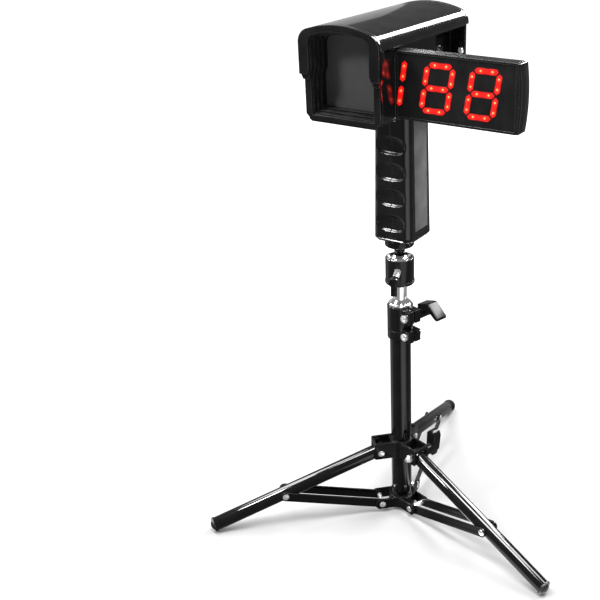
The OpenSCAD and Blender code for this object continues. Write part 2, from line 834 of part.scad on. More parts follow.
module rear_button(k) {
    translate([button_x[k], 0, button_z[k]]) {
        rod_y(button_r, cover_y - 0.5, rear_y + button_out - 0.5);
        translate([0, rear_y + button_out, 0]) rotate([90, 0, 0])
            cylinder(r1 = button_r - 0.5, r2 = button_r, h = 0.5);
        rod_y(button_r + 1, cover_y - 1.5, cover_y - 0.1);
    }
}
module power_button() { color("#b3201c") placed() rear_button(0); }
module unit_button() { color("#2a2a2c") placed() rear_button(1); }
module mode_button() { color("#2a2a2c") placed() rear_button(2); }

module antenna_module() {
    y0 = window_y + 9;
    color("#2f6b45") placed() {
        block([-26, y0, house_bottom + 9], [14, y0 + 1.6, house_bottom + 51]);
        for (i = [0:3], k = [0:3]) translate([-21 + 10 * i, y0, house_bottom + 15 + 10 * k])
            block([-3, -0.6, -3], [3, eps, 3]);
        block([-18, y0 + 1.6 - eps, house_bottom + 20], [6, y0 + 6, house_bottom + 40]);
    }
}

module main_board() {
    y0 = cover_y - 12;
    color("#2f6b45") placed() {
        block([-28, y0, house_bottom + 5], [15, y0 + 1.6, house_bottom + 54]);
        block([-14, y0 - 2, house_bottom + 18], [0, y0 + eps, house_bottom + 32]);
        for (k = [0:2]) translate([button_x[k], 0, button_z[k]]) rod_y(2.2, y0 + 1.5, cover_y - 4);
        translate([-20, 0, house_bottom + 14]) rod_y(3.5, y0 - 9, y0 + eps);
    }
}

// A sprung ball that the display snaps onto
module display_catch() {
    color("#3c3d40") placed() translate([catch_x, 0, catch_z]) {
        rod_y(2.6, cover_y + 1, cover_y + 2.4);
        intersection() {
            translate([0, cover_y + 2.7, 0]) sphere(2.8);
            rod_y(2.6, cover_y - 0.1, cover_y + 1.2);
        }
    }
}

module hinge_pin() {
    color("#a9acb0") placed() translate([hinge_x, hinge_y, 0])
        rod_z(hinge_pin_r, house_bottom + 1, side_z + 2);
}

// ---- display ----

// The display seen from its face, with its bowed end set in by inset
module panel_outline(inset = 0) {
    intersection() {
        translate([panel_x, display_low]) square([panel_end - inset - panel_x, display_high]);
        translate([panel_end - inset - end_r, display_low + display_high / 2]) circle(end_r, $fn = 180);
    }
}

module display_case() {
    color("#0e0e10") placed() difference() {
        union() {
            standing(panel_y, back_y - back_t) panel_outline(cap_len);
            translate([hinge_x, hinge_y, 0]) rod_z(barrel_r, display_low + gap, case_high - gap);
            block([hinge_x, hinge_y - barrel_r, display_low + gap],
                  [panel_x + 1, hinge_y + barrel_r, case_high - gap]);
        }
        block([panel_x + panel_wall, panel_y + 1.6, display_low + panel_wall],
              [window_end, back_y, case_high - panel_wall]);
        block([panel_x + panel_wall, panel_y - 1, display_low + panel_wall],
              [window_end, panel_y + 2, case_high - panel_wall]);
        // the near wall's front lies level with the window
        block([panel_x - gap, panel_y - 1, display_low + panel_wall],
              [panel_x + panel_wall + 1, face_y, case_high - panel_wall]);
        translate([hinge_x, hinge_y, 0]) rod_z(hinge_pin_r + fit, display_low - 1, case_high + 1);
    }
}

module display_back() {
    color("#101012") placed() standing(back_y - back_t, back_y) panel_outline(cap_len);
}

module display_cap() {
    color("#0c0c0e") placed() standing(panel_y, back_y) difference() {
        panel_outline();
        panel_outline(cap_len);
    }
}

module display_window() {
    color("#08080a") placed() block([panel_x + panel_wall, face_y, display_low + panel_wall],
                                    [window_end, face_y + 1.2, case_high - panel_wall]);
}

module display_board() {
    color("#1f5a3c") placed()
        block([panel_x + panel_wall + 0.5, face_y + 1.2, display_low + panel_wall + 0.5],
              [window_end - 0.5, face_y + 2.8, case_high - panel_wall - 0.5]);
}

module led_segments() {
    color("#e3120b") placed() standing(face_y - led_t, face_y)
        for (b = BARS) bar(b[0], b[1], b[2], b[3]);
}

module led_points() {
    color("#ffb066") placed() for (b = BARS, s = [-1, 1]) {
        d = s * b[2] * point_share;
        p = b[3] ? slanted(b[0], b[1] + d) : slanted(b[0] + d, b[1]);
        translate([p.x, 0, p.y]) rod_y(0.8, face_y - 0.38, face_y - led_t);
    }
}

column_tube();
column_plug();
collar();
collar_bolts();
lower_hub();
lower_hub_rivets();
upper_hub();
upper_hub_rivets();
hub_bolt();
hub_knob();
leg_1();
leg_2();
leg_3();
foot_cap_1();
foot_cap_2();
foot_cap_3();
brace_1();
brace_2();
brace_3();
brace_rivets_1();
brace_rivets_2();
brace_rivets_3();
inner_tube();
spigot();
ball_housing();
housing_ring();
ball_seat();
collar_lever();
lock_screw();
lock_lever();
ball();
ball_stem();
grip_left();
grip_right();
grip_inlays();
grip_cap();
thread_insert();
battery_tray();
batteries();
body_shell();
hood();
front_bezel();
radar_window();
rear_cover();
antenna_module();
main_board();
display_catch();
case_screws();
hinge_pin();
power_button();
unit_button();
mode_button();
display_case();
display_back();
display_cap();
display_window();
display_board();
led_segments();
led_points();
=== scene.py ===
import json
import math

import bmesh
import bpy
from mathutils import Matrix, Vector


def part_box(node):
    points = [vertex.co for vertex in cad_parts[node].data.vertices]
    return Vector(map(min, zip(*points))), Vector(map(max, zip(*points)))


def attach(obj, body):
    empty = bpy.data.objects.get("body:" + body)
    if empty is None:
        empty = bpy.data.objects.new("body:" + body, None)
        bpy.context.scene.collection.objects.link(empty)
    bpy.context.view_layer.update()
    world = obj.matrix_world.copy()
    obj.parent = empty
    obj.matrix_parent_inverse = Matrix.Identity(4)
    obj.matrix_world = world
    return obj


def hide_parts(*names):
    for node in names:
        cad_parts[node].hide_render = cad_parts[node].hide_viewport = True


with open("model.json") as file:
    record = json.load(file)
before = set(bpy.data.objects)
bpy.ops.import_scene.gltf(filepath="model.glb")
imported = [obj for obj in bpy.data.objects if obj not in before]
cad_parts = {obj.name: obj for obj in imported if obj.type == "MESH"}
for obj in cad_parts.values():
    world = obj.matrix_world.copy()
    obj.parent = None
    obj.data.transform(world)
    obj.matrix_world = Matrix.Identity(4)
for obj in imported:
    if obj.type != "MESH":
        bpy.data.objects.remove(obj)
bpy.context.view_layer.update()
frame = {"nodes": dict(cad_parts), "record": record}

MM = 0.001
NODES = frame["nodes"]

# The column's axis stands at this place in the row frame
TUBE_LOW, TUBE_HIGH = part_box("column_tube")
AXIS = Vector(((TUBE_LOW.x + TUBE_HIGH.x) / 2, (TUBE_LOW.y + TUBE_HIGH.y) / 2, 0))


def at(x, y, z):
    """A point given in millimetres from the foot of the column's axis."""
    return AXIS + Vector((x, y, z)) * MM


# ---- camera ----

YAW = math.radians(29.3)
TILT = math.radians(24.4)
AIM_HEIGHT = 226.2
DISTANCE = 883.6
SIDE_STEP = 18.5
LENS, SENSOR = 60, 36
# The object stands in the right half of the frame
SHIFT_X, SHIFT_Y = -0.2015, -0.014


def make_camera():
    """The photograph's viewing angle: from the front right of the column, looking down."""
    turn = Matrix.Rotation(YAW, 3, "Z")
    ahead = turn @ Vector((0, math.cos(TILT), -math.sin(TILT)))
    right = turn @ Vector((1, 0, 0))
    data = bpy.data.cameras.new("camera")
    data.lens = LENS
    data.sensor_width = SENSOR
    data.shift_x = SHIFT_X
    data.shift_y = SHIFT_Y
    data.clip_start = 0.01
    data.clip_end = 50
    cam = bpy.data.objects.new("camera", data)
    cam.location = at(0, 0, AIM_HEIGHT) + (right * SIDE_STEP - ahead * DISTANCE) * MM
    cam.rotation_euler = (math.pi / 2 - TILT, 0, YAW)
    bpy.context.scene.collection.objects.link(cam)
    bpy.context.scene.camera = cam


make_camera()


# ---- materials ----

class Nodes:
    """A material's node tree, with short calls for the nodes used here."""

    def __init__(self, name):
        self.mat = bpy.data.materials.new(name)
        self.mat.use_nodes = True
        self.tree = self.mat.node_tree
        self.shader = self.tree.nodes["Principled BSDF"]
        self.out = self.tree.nodes["Material Output"]
        self.place = self.tree.nodes.new("ShaderNodeTexCoord").outputs["Object"]

    def link(self, a, b):
        self.tree.links.new(a, b)

    def set(self, **values):
        for key, value in values.items():
            self.shader.inputs[key.replace("_", " ")].default_value = value

    def noise(self, scale, detail=3.0, rough=0.5, stretch=(1, 1, 1)):
        coords = self.tree.nodes.new("ShaderNodeMapping")
        coords.inputs["Scale"].default_value = stretch
        self.link(self.place, coords.inputs["Vector"])
        n = self.tree.nodes.new("ShaderNodeTexNoise")
        n.inputs["Scale"].default_value = scale
        n.inputs["Detail"].default_value = detail
        n.inputs["Roughness"].default_value = rough
        self.link(coords.outputs["Vector"], n.inputs["Vector"])
        return n.outputs["Fac"]

    def spread(self, value, low, high, start=0.3, end=0.7):
        m = self.tree.nodes.new("ShaderNodeMapRange")
        m.inputs["From Min"].default_value = start
        m.inputs["From Max"].default_value = end
        m.inputs["To Min"].default_value = low
        m.inputs["To Max"].default_value = high
        self.link(value, m.inputs["Value"])
        return m.outputs["Result"]

    def math(self, op, a, b):
        m = self.tree.nodes.new("ShaderNodeMath")
        m.operation = op
        for value, socket in ((a, m.inputs[0]), (b, m.inputs[1])):
            if isinstance(value, (int, float)):
                socket.default_value = value
            else:
                self.link(value, socket)
        return m.outputs[0]

    def mix(self, fac, a, b):
        m = self.tree.nodes.new("ShaderNodeMix")
        m.data_type = "RGBA"
        self.link(fac, m.inputs["Factor"])
        for value, socket in ((a, m.inputs["A"]), (b, m.inputs["B"])):
            if isinstance(value, tuple):
                socket.default_value = value
            else:
                self.link(value, socket)
        return m.outputs["Result"]

    def edge(self, radius):
        """1 on sharp edges, 0 on flat faces."""
        bevel = self.tree.nodes.new("ShaderNodeBevel")
        bevel.samples = 4
        bevel.inputs["Radius"].default_value = radius
        geo = self.tree.nodes.new("ShaderNodeNewGeometry")
        dot = self.tree.nodes.new("ShaderNodeVectorMath")
        dot.operation = "DOT_PRODUCT"
        self.link(bevel.outputs["Normal"], dot.inputs[0])
        self.link(geo.outputs["Normal"], dot.inputs[1])
        return self.spread(dot.outputs["Value"], 1.0, 0.0, 0.93, 0.995)

    def bump(self, height, strength, distance):
        b = self.tree.nodes.new("ShaderNodeBump")
        b.inputs["Strength"].default_value = strength
        b.inputs["Distance"].default_value = distance
        self.link(height, b.inputs["Height"])
        self.link(b.outputs["Normal"], self.shader.inputs["Normal"])


def grey(v):
    """A neutral shade with a trace of blue."""
    return (v, v, v * 1.03, 1)


def plastic(name, base, rough, grain=0.0, grain_scale=3000, coat=0.0, edge_wear_and_sheen=0.25, level=0.22, cloud=0.28):
    """Moulded plastic or paint: clouds in the colour, smears in the gloss, fine grain, edges made lighter,
    partly as rubbed wear and partly as a painted highlight.

    coat is a clear layer's weight, edge_wear_and_sheen how far the edges are rubbed and lit by a painted edge
    highlight, level the strength of the reflection.
    """
    m = Nodes(name)
    clouds = m.noise(60, 4)
    smears = m.noise(140, 3, 0.6, (1, 1, 0.35))
    colour = m.mix(m.spread(clouds, 0, 1), grey(base * (1 - cloud)), grey(base * (1 + cloud)))
    if edge_wear_and_sheen:
        # edges lightened: partly rubbed wear, partly a painted highlight along the edges
        rub_and_sheen = m.math("MULTIPLY", m.edge(0.0006), m.spread(m.noise(200, 3), edge_wear_and_sheen * 0.4, edge_wear_and_sheen))
        colour = m.mix(rub_and_sheen, colour, grey(min(base * 6 + 0.05, 0.4)))
    m.link(colour, m.shader.inputs["Base Color"])
    m.link(m.spread(smears, rough * 0.75, rough * 1.35), m.shader.inputs["Roughness"])
    m.set(IOR=1.49, Specular_IOR_Level=level, Coat_Weight=coat, Coat_Roughness=0.06)
    if grain:
        m.bump(m.noise(grain_scale, 2), grain, 0.0002)
    return m.mat


def metal(name, base, rough, streak=(1, 1, 1), dull=0.2, painted_glow=0.0):
    """Bare metal: fine streaks in the gloss, faint dull patches. painted_glow is a faint white glow of the
    metal's own, painted light that keeps its shaded side from black.
    """
    m = Nodes(name)
    streaks = m.noise(900, 3, 0.6, streak)
    patches = m.noise(90, 4)
    dark = tuple(c * (1 - dull) for c in base) + (1,)
    m.link(m.mix(m.spread(patches, 0, 1), dark, tuple(base) + (1,)), m.shader.inputs["Base Color"])
    m.set(Metallic=1.0)
    m.link(m.spread(streaks, rough * 0.6, rough * 1.6), m.shader.inputs["Roughness"])
    m.bump(streaks, 0.08, 0.0001)
    # a faint white glow on the metal: painted light that lifts its shaded side
    m.set(Emission_Color=(1, 1, 1, 1), Emission_Strength=painted_glow)
    return m.mat


def coloured(name, base, rough):
    """Coloured plastic or lacquer with mottling, a fine grain and uneven gloss."""
    m = Nodes(name)
    mottle = 0.25
    low = tuple(c * (1 - mottle) for c in base) + (1,)
    high = tuple(min(c * (1 + mottle), 1) for c in base) + (1,)
    m.link(m.mix(m.spread(m.noise(120, 4), 0, 1), low, high), m.shader.inputs["Base Color"])
    m.link(m.spread(m.noise(300, 3), rough * 0.7, rough * 1.3), m.shader.inputs["Roughness"])
    m.bump(m.noise(1500, 2), 0.1, 0.0002)
    return m.mat


def glowing(name, base, strength):
    """A lit part: its light is a little uneven from place to place."""
    m = Nodes(name)
    bright = m.spread(m.noise(700, 2), strength * 0.8, strength * 1.2)
    m.link(bright, m.shader.inputs["Emission Strength"])
    m.set(Base_Color=base, Emission_Color=base, Roughness=0.3)
    return m.mat


def lit_bars():
    """The lit bars: each point of the mesh carries its own brightness, from dull red to hot orange."""
    m = Nodes("led_red")
    chart = m.tree.nodes.new("ShaderNodeUVMap")
    chart.uv_map = "heat"
    split = m.tree.nodes.new("ShaderNodeSeparateXYZ")
    m.link(chart.outputs["UV"], split.inputs["Vector"])
    heat = split.outputs["X"]
    flicker = m.spread(m.noise(900, 2), 0.9, 1.1)
    level = m.math("MULTIPLY", heat, flicker)
    ramp = m.tree.nodes.new("ShaderNodeValToRGB")
    stops = ((0.0, (0.004, 0.0, 0.0, 1)), (0.2, (0.04, 0.0001, 0.0, 1)), (0.36, (0.22, 0.0005, 0.0002, 1)),
             (0.55, (0.5, 0.002, 0.001, 1)), (0.78, (0.9, 0.012, 0.004, 1)), (1.0, (1.0, 0.07, 0.02, 1)))
    while len(ramp.color_ramp.elements) < len(stops):
        ramp.color_ramp.elements.new(0.5)
    for element, (place, colour) in zip(ramp.color_ramp.elements, stops):
        element.position = place
        element.color = colour
    m.link(level, ramp.inputs["Fac"])
    m.link(ramp.outputs["Color"], m.shader.inputs["Emission Color"])
    m.link(m.spread(heat, 3.2, 4.2, 0.0, 0.8), m.shader.inputs["Emission Strength"])
    m.link(m.spread(m.noise(300, 2), 0.25, 0.4), m.shader.inputs["Roughness"])
    m.set(Base_Color=(0.03, 0.001, 0.001, 1))
    return m.mat


MATS = {
    # gloss_black has the strongest lightened edges: mostly a painted edge highlight, partly wear
    "gloss_black": plastic("gloss_black", 0.004, 0.09, grain=0.004, grain_scale=500, coat=0.12, edge_wear_and_sheen=0.5),
    "satin_black": plastic("satin_black", 0.005, 0.24, grain=0.10, grain_scale=2200, edge_wear_and_sheen=0.4),
    "grip_black": plastic("grip_black", 0.004, 0.17, grain=0.04, grain_scale=1500, coat=0.15, edge_wear_and_sheen=0,
                          level=0.3),
    "inlay_grey": plastic("inlay_grey", 0.062, 0.36, grain=0.25, grain_scale=2400),
    "window_grey": plastic("window_grey", 0.036, 0.34, grain=0.02, grain_scale=1800, edge_wear_and_sheen=0, cloud=0.06),
    "display_tint": plastic("display_tint", 0.004, 0.34, grain=0.16, grain_scale=1600, edge_wear_and_sheen=0, level=0.2),
    "tube_black": plastic("tube_black", 0.003, 0.06, grain=0.006, grain_scale=700, coat=0.2, edge_wear_and_sheen=0.1),
    "hub_black": plastic("hub_black", 0.003, 0.17, grain=0.05, grain_scale=1200, edge_wear_and_sheen=0.3),
    "casting_black": plastic("casting_black", 0.004, 0.18, grain=0.08, grain_scale=900, edge_wear_and_sheen=0.3),
    "lever_black": plastic("lever_black", 0.004, 0.16, grain=0.05, grain_scale=1500, edge_wear_and_sheen=0.3),
    "foot_rubber": plastic("foot_rubber", 0.008, 0.36, grain=0.3, grain_scale=1300),
    # chrome and bright steel glow faintly: painted light that keeps their shaded sides bright
    "chrome": metal("chrome", (0.93, 0.94, 0.95), 0.07, (1, 1, 6), dull=0.05, painted_glow=0.10),
    "bright_steel": metal("bright_steel", (0.93, 0.94, 0.95), 0.26, (1, 1, 5), dull=0.1, painted_glow=0.14),
    "brass": metal("brass", (0.72, 0.52, 0.20), 0.25),
    "nylon": coloured("nylon", (0.78, 0.77, 0.72), 0.45),
    "board_green": coloured("board_green", (0.04, 0.20, 0.09), 0.40),
    "battery_skin": coloured("battery_skin", (0.07, 0.18, 0.10), 0.25),
    "button_red": coloured("button_red", (0.42, 0.02, 0.015), 0.38),
    "button_grey": plastic("button_grey", 0.05, 0.45, grain=0.3),
    "led_red": lit_bars(),
    "led_amber": glowing("led_amber", (1.0, 0.17, 0.05, 1), 1.8),
}


# ---- CAD nodes: real rounded edges and their materials ----

# Edge radii in millimetres where they differ from the usual one
USUAL_EDGE = 0.2
EDGE_WIDTH = {
    "hood": 0.5, "front_bezel": 0.7, "body_shell": 0.6, "rear_cover": 0.6, "display_case": 0.5,
    "display_cap": 0.8, "display_back": 0.4, "collar": 0.5, "upper_hub": 0.3, "lower_hub": 0.3,
    "ball_stem": 0.4, "ball_housing": 0.4, "grip_cap": 0.3,
}
# Nodes that keep their edges as cut, and nodes whose large flat faces stay flat shaded
PLAIN_NODES = {"ball", "led_segments", "led_points", "batteries", "antenna_module", "main_board",
               "radar_window", "display_window"}
FLAT_NODES = {"body_shell", "display_case", "display_back"}


def soften(node, width):
    """Welds the node's mesh, joins its flat facets and rounds its edges, as modifiers on the CAD object."""
    obj = NODES[node]
    weld = obj.modifiers.new("weld", "WELD")
    weld.merge_threshold = 1e-6
    flat = obj.modifiers.new("flat", "DECIMATE")
    flat.decimate_type = "DISSOLVE"
    flat.angle_limit = math.radians(0.5)
    bevel = obj.modifiers.new("edges", "BEVEL")
    bevel.width = width * MM
    bevel.segments = 3
    bevel.limit_method = "ANGLE"
    bevel.angle_limit = math.radians(32)
    bevel.harden_normals = node not in FLAT_NODES
    for poly in obj.data.polygons:
        poly.use_smooth = node not in FLAT_NODES


for entry in frame["record"]["subparts"]:
    name, slot = entry["node"], entry["material_slot"]
    obj = NODES[name]
    obj.data.materials.clear()
    obj.data.materials.append(MATS[slot])
    if name not in PLAIN_NODES:
        soften(name, EDGE_WIDTH.get(name, USUAL_EDGE))


# ---- pieces built here ----

def piece(name, body, mesh, replaces=None):
    """Makes a mesh piece in the row frame that moves with a body and takes a slot's finish."""
    obj = bpy.data.objects.new(name, mesh)
    bpy.context.scene.collection.objects.link(obj)
    for poly in mesh.polygons:
        poly.use_smooth = True
    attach(obj, body)
    if replaces:
        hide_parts(*replaces)
    return obj


def surface(name, rows, closed=False):
    """A mesh through rows of points, each row of the same length. closed joins a row's ends."""
    mesh = bpy.data.meshes.new(name)
    bm = bmesh.new()
    grid = [[bm.verts.new(p) for p in row] for row in rows]
    wide = len(rows[0])
    for a, b in zip(grid, grid[1:]):
        for i in range(wide if closed else wide - 1):
            j = (i + 1) % wide
            bm.faces.new((a[i], a[j], b[j], b[i]))
    bm.to_mesh(mesh)
    bm.free()
    return mesh


# ---- grip: two half shells with scooped finger grooves ----

# Half width, front and rear at its foot; it narrows by the taper on each side up to its top
GRIP_HALF, GRIP_FRONT, GRIP_REAR = 18.6, 15.0, 26.0
GRIP_TAPER, GRIP_FOOT, GRIP_SEAM, GRIP_TOP = 1.7, 277.0, 282.5, 395.0
GRIP_CORNER, GRIP_STEP = 7.0, 0.42
PARTING_DEEP = 0.22
INLAY_FRONT, INLAY_REAR, INLAY_LOW, INLAY_HIGH, INLAY_DEEP = -4.0, 17.0, 287.0, 383.0, 1.0
FINGERS, FINGER_PITCH, FINGER_FIRST = 4, 22.4, 295.3
# A finger groove: half width, reach below and above its middle, depth, and how square its outline is
SCOOP_HALF, SCOOP_DOWN, SCOOP_UP, SCOOP_DEEP, SCOOP_SQUARE = 14.2, 7.6, 8.6, 3.1, 2.8
# The share of the groove that its steep wall takes, and how much of the depth the wall makes
SCOOP_WALL, WALL_SHARE = 0.22, 0.62


def scoop(u, z):
    """Depth of the finger grooves at a place on the grip's front: a rounded U below, easing out above."""
    k = round((z - FINGER_FIRST) / FINGER_PITCH)
    k = min(max(k, 0), FINGERS - 1)
    dz = z - FINGER_FIRST - FINGER_PITCH * k
    reach = SCOOP_DOWN if dz < 0 else SCOOP_UP
    s = ((abs(u) / SCOOP_HALF) ** SCOOP_SQUARE + (abs(dz) / reach) ** SCOOP_SQUARE) ** (1 / SCOOP_SQUARE)
    if s >= 1:
        return 0.0
    # a steep wall just inside the rim, then a shallow floor
    wall = min((1 - s) / SCOOP_WALL, 1.0)
    floor = 1 - s
    blend = min(max((dz + 1.5) / 7, 0), 1)
    steep = WALL_SHARE * math.sin(wall * math.pi / 2) + (1 - WALL_SHARE) * floor ** 0.8
    soft = math.sin(min(floor * 1.25, 1.0) * math.pi / 2) ** 1.3
    return SCOOP_DEEP * (steep * (1 - blend) + soft * blend)


def grip_half_rows(side):
    """Rows of points up one half of the grip, from the middle of its front round to that of its back."""
    rows = []
    z = GRIP_SEAM + 0.15
    while z < GRIP_TOP + 0.3:
        narrow = GRIP_TAPER * (z - GRIP_FOOT) / (GRIP_TOP - GRIP_FOOT)
        half, front, rear, r = GRIP_HALF - narrow, -GRIP_FRONT + narrow, GRIP_REAR - narrow, GRIP_CORNER
        straight = half - r
        # the front and its corner, scooped out for the fingers
        outline = [(straight * i / 36, front, True) for i in range(37)]
        for i in range(1, 17):
            a = math.pi / 2 * i / 16
            outline.append((straight + r * math.sin(a), front + r - r * math.cos(a), i < 16))
        outline = [(x, y + scoop(x, z) if fingers else y) for x, y, fingers in outline]
        # the side, with a pocket for the inlay
        pocket = half - INLAY_DEEP if INLAY_LOW - 0.2 < z < INLAY_HIGH + 0.2 else half
        outline += [(half, INLAY_FRONT - 0.5), (half, INLAY_FRONT - 0.25)]
        outline += [(pocket, y + d) for y in (INLAY_FRONT, INLAY_REAR) for d in (-0.1, 0.1)]
        outline += [(half, INLAY_REAR + 0.25), (half, INLAY_REAR + 0.5)]
        # the rear corner and the back
        for i in range(1, 9):
            a = math.pi / 2 * i / 8
            outline.append((straight + r * math.cos(a), rear - r + r * math.sin(a)))
        outline += [(straight * (1 - i / 4), rear) for i in range(1, 5)]
        # a fine parting line down the middle of the front and the back
        (x_first, y_first), (x_last, y_last) = outline[0], outline[-1]
        outline[0] = (x_first, y_first + PARTING_DEEP)
        outline[-1] = (x_last, y_last - PARTING_DEEP)
        row = [at(side * x, y, z) for x, y in outline]
        rows.append(row if side > 0 else row[::-1])
        z += GRIP_STEP
    return rows


for side, name in ((-1, "grip_left"), (1, "grip_right")):
    mesh = surface(name + "_skin", grip_half_rows(side))
    mesh.materials.append(MATS["grip_black"])
    piece(name + "_skin", "gun", mesh, [name])


# ---- hood: one smooth arch ----

HOOD_HALF, HOOD_TOP, HOOD_LOW, SHOULDER_R, CROWN_R, HOOD_WALL = 35.0, 469.0, 453.0, 11.0, 89.4, 2.2
HOOD_FRONT, HOOD_REAR = -82.0, 52.0


def hood_line(inset):
    """The arch from its lower right corner over the crown to its lower left corner."""
    half, shoulder, crown = HOOD_HALF - inset, SHOULDER_R - inset, CROWN_R - inset
    side, mid = half - shoulder, HOOD_TOP - CROWN_R
    high = mid + math.sqrt((crown - shoulder) ** 2 - side ** 2)
    turn = math.atan2(high - mid, side)
    span = math.pi - 2 * turn
    line = [(half, HOOD_LOW), (half, HOOD_LOW + 0.4), (half, HOOD_LOW + 0.8)]
    for i in range(29):
        a = turn * i / 28
        line.append((side + shoulder * math.cos(a), high + shoulder * math.sin(a)))
    for i in range(1, 57):
        a = turn + span * i / 56
        line.append((crown * math.cos(a), mid + crown * math.sin(a)))
    for i in range(27, -1, -1):
        a = turn * i / 28
        line.append((-side - shoulder * math.cos(a), high + shoulder * math.sin(a)))
    line += [(-half, HOOD_LOW + 0.8), (-half, HOOD_LOW + 0.4), (-half, HOOD_LOW)]
    return line


def hood_skin():
    """The hood as one arched sheet with rounded front and rear rims."""
    rows = []
    # distance from the rim and how far the surface draws in there
    steps = ((0.0, 0.30), (0.08, 0.09), (0.30, 0.0), (0.8, 0.0))
    long = HOOD_REAR - HOOD_FRONT
    places = [(HOOD_FRONT + d, i) for d, i in steps]
    places += [(HOOD_FRONT + long * k / 24, 0.0) for k in range(1, 24)]
    places += [(HOOD_REAR - d, i) for d, i in reversed(steps)]
    for y, inset in places:
        ring = hood_line(inset) + hood_line(HOOD_WALL - inset)[::-1]
        rows.append([at(x, y, z) for x, z in ring])
    mesh = surface("hood_skin", rows, closed=True)
    caps = bmesh.new()
    caps.from_mesh(mesh)
    caps.verts.ensure_lookup_table()
    wide, half = len(rows[0]), len(rows[0]) // 2
    for first, flip in ((0, False), (wide * (len(rows) - 1), True)):
        for i in range(half - 1):
            quad = [first + i, first + i + 1, first + wide - 2 - i, first + wide - 1 - i]
            caps.faces.new([caps.verts[k] for k in (quad if flip else quad[::-1])])
    caps.to_mesh(mesh)
    caps.free()
    mesh.materials.append(MATS["gloss_black"])
    piece("hood_skin", "gun", mesh, ["hood"])


hood_skin()


# ---- digits: bars that glow hottest at their two points ----

PANEL_X, PANEL_LOW, PANEL_HIGH, FACE_Y = 33.4, 400.0, 50.5, -59.6
DIGIT_HIGH, DIGIT_WIDE, DIGIT_SLANT = 33.5, 21.0, math.tan(math.radians(9))
BAR_W, BAR_TIP, BAR_GAP = 4.9, 2.2, 1.2
# How far a bar's rim eases down at its sides and at its ends
RIM_SIDE, RIM_END = 1.3, 1.6
# How far the wide glow and the hot spot reach from a lit point
GLOW_REACH, HOT_REACH = 3.4, 1.15
DIGIT_MID = PANEL_LOW + PANEL_HIGH * 0.51
# A bar's two lit points lie this share of its length from its middle
POINT_SHARE = 0.235
POINT_STEPS = 16
# The domes of the lit points as (radius, height over the panel)
POINT_DOME = ((0.62, 0.26), (0.55, 0.33), (0.38, 0.37), (0.16, 0.385))


def bars():
    """The bars of the three digits as (x, z, length, upright)."""
    quarter, side, flat = DIGIT_HIGH / 4, DIGIT_HIGH / 2 - BAR_GAP, DIGIT_WIDE - BAR_GAP
    found = [(PANEL_X + 5.2, DIGIT_MID + 0.8 + s * (quarter + 0.8), side + 0.8, True) for s in (-1, 1)]
    for x in (PANEL_X + 34.7, PANEL_X + 71.4):
        for a in (-1, 1):
            found += [(x + a * DIGIT_WIDE / 2, DIGIT_MID + b * quarter, side, True) for b in (-1, 1)]
        found += [(x, DIGIT_MID + k * DIGIT_HIGH / 2, flat, False) for k in (-1, 0, 1)]
    return found


def on_face(x, z, painted_glow):
    """A point over the display's panel, with the digits' slant."""
    return at(x + (z - DIGIT_MID) * DIGIT_SLANT, FACE_Y - painted_glow, z)


def bar_warmth(p, q, length, edge):
    """How hot a place on a bar glows: hottest at its two points, duller toward its rim."""
    near = min(math.hypot(p - s * length * POINT_SHARE, q) for s in (-1, 1))
    warm = 0.36 + 0.30 * math.exp(-(near / GLOW_REACH) ** 2) + 0.42 * math.exp(-(near / HOT_REACH) ** 2)
    return warm * (0.25 + 0.75 * edge ** 0.7)


def digit_bars():
    """The bars as pointed pads, each point of the mesh with its own warmth."""
    bm = bmesh.new()
    warmth = {}
    along, across = 44, 12
    for cx, cz, length, upright in bars():
        grid = []
        for i in range(along + 1):
            p = (-1 + 2 * i / along) * length / 2
            room = length / 2 - abs(p)
            half = BAR_W / 2 * min(1.0, room / BAR_TIP)
            row = []
            for j in range(across + 1):
                q = (-1 + 2 * j / across) * half
                edge = min(1.0, (half - abs(q)) / RIM_SIDE, room / RIM_END) if half > 0 else 0.0
                x, z = (cx + q, cz + p) if upright else (cx + p, cz + q)
                v = bm.verts.new(on_face(x, z, 0.12 + 0.16 * edge))
                warmth[v] = bar_warmth(p, q, length, edge)
                row.append(v)
            grid.append(row)
        for a, b in zip(grid, grid[1:]):
            for j in range(across):
                quad = (a[j], a[j + 1], b[j + 1], b[j])
                bm.faces.new(quad if upright else quad[::-1])
    chart = bm.loops.layers.uv.new("heat")
    for face in bm.faces:
        for loop in face.loops:
            loop[chart].uv = (warmth[loop.vert], 0.5)
    mesh = bpy.data.meshes.new("digit_bars")
    bm.to_mesh(mesh)
    bm.free()
    mesh.materials.append(MATS["led_red"])
    piece("digit_bars", "display", mesh, ["led_segments"])


def digit_points():
    """The lit points as small domes, two on each bar."""
    bm = bmesh.new()
    for cx, cz, length, upright in bars():
        for s in (-1, 1):
            d = s * length * POINT_SHARE
            x, z = (cx, cz + d) if upright else (cx + d, cz)
            rings = []
            for r, painted_glow in POINT_DOME:
                centre = on_face(x, z, painted_glow)
                ring = []
                for i in range(POINT_STEPS):
                    a = 2 * math.pi * i / POINT_STEPS
                    ring.append(bm.verts.new(centre + Vector((r * math.cos(a), 0, r * math.sin(a))) * MM))
                rings.append(ring)
            for a, b in zip(rings, rings[1:]):
                for i in range(POINT_STEPS):
                    j = (i + 1) % POINT_STEPS
                    bm.faces.new((a[i], a[j], b[j], b[i]))
            bm.faces.new(rings[-1])
    mesh = bpy.data.meshes.new("digit_points")
    bm.to_mesh(mesh)
    bm.free()
    mesh.materials.append(MATS["led_amber"])
    piece("digit_points", "display", mesh, ["led_points"])


digit_bars()
digit_points()


# ---- turned pieces ----

